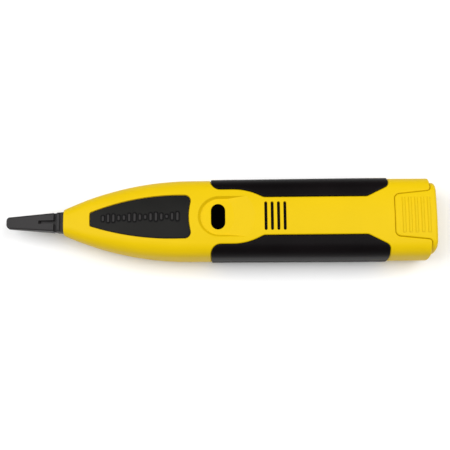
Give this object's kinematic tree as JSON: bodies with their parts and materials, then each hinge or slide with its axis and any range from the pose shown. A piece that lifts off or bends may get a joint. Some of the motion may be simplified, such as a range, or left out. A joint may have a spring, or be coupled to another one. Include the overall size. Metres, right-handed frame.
{
  "type": "tone tracing probe",
  "caption": "Hand-held tone tracing probe: yellow two-part case, soft black grips and inlay, conductive tip, thumb button, slotted speaker, volume wheel and sliding battery door.",
  "frame": {"origin": "under the middle of the tool, on the plane that its flat back rests on", "axes": "+X from the tip to the battery door, +Y towards the volume wheel's side, +Z out of the front face"},
  "size_m": [0.251, 0.0486, 0.0336],
  "materials": {
    "shell_yellow": "satin moulded ABS",
    "grip_rubber": "soft matt overmould",
    "inlay_rubber": "soft matt overmould",
    "tip_plastic": "conductive carbon-filled plastic",
    "button_plastic": "matt",
    "dark_plastic": "matt moulded",
    "board_green": "solder mask",
    "steel": "zinc plated",
    "spring_steel": "bright spring wire",
    "tin": "tinned",
    "can_aluminium": "sleeved can",
    "ceramic": "fired",
    "cone_film": "thin film",
    "magnet": "nickel plated",
    "foam": "closed-cell foam",
    "cloth": "woven dust cloth",
    "battery_jacket": "plain printed jacket",
    "red_wire": "insulated wire",
    "black_wire": "insulated wire",
    "screw_steel": "black zinc"
  },
  "bodies": {
    "case": {"front_shell": "shell_yellow", "back_shell": "shell_yellow", "front_grip_left": "grip_rubber", "front_grip_right": "grip_rubber", "back_grip_left": "grip_rubber", "back_grip_right": "grip_rubber", "nose_inlay": "inlay_rubber", "switch_body": "dark_plastic", "switch_dome": "spring_steel", "volume_pot": "dark_plastic", "tip_socket": "dark_plastic", "tip_contact": "spring_steel", "tip_lead": "black_wire", "circuit_board": "board_green", "board_screws": "steel", "amplifier_chip": "dark_plastic", "capacitors": "can_aluminium", "chip_parts": "ceramic", "speaker_frame": "steel", "speaker_cone": "cone_film", "speaker_magnet": "magnet", "speaker_gasket": "foam", "dust_cloth": "cloth", "speaker_leads": "red_wire", "battery_case": "battery_jacket", "battery_studs": "tin", "battery_snap": "dark_plastic", "snap_contacts": "tin", "red_lead": "red_wire", "black_lead": "black_wire", "case_screws": "screw_steel"},
    "button": {"power_button": "button_plastic", "switch_plunger": "button_plastic"},
    "door": {"battery_door": "shell_yellow", "door_pad": "foam"},
    "volume": {"volume_wheel": "dark_plastic", "wheel_screw": "steel"},
    "tip": {"probe_tip": "tip_plastic"}
  },
  "joints": [
    {"name": "button_press", "type": "slide", "parent": "case", "child": "button", "axis": [0, 0, -1], "range_m": [0, 0.0006], "stiffness_N_per_m": 1500, "deforming": ["switch_dome"]},
    {"name": "battery_door_slide", "type": "slide", "parent": "case", "child": "door", "axis": [1, 0, 0], "range_m": [0, 0.03]},
    {"name": "volume_turn", "type": "hinge", "parent": "case", "child": "volume", "pos_m": [0.008, 0.016, 0.0133], "axis": [0, 0, 1], "range_deg": [-135, 135]},
    {"name": "tip_pull", "type": "slide", "parent": "case", "child": "tip", "axis": [-1, 0, 0], "range_m": [0, 0.02]}
  ]
}
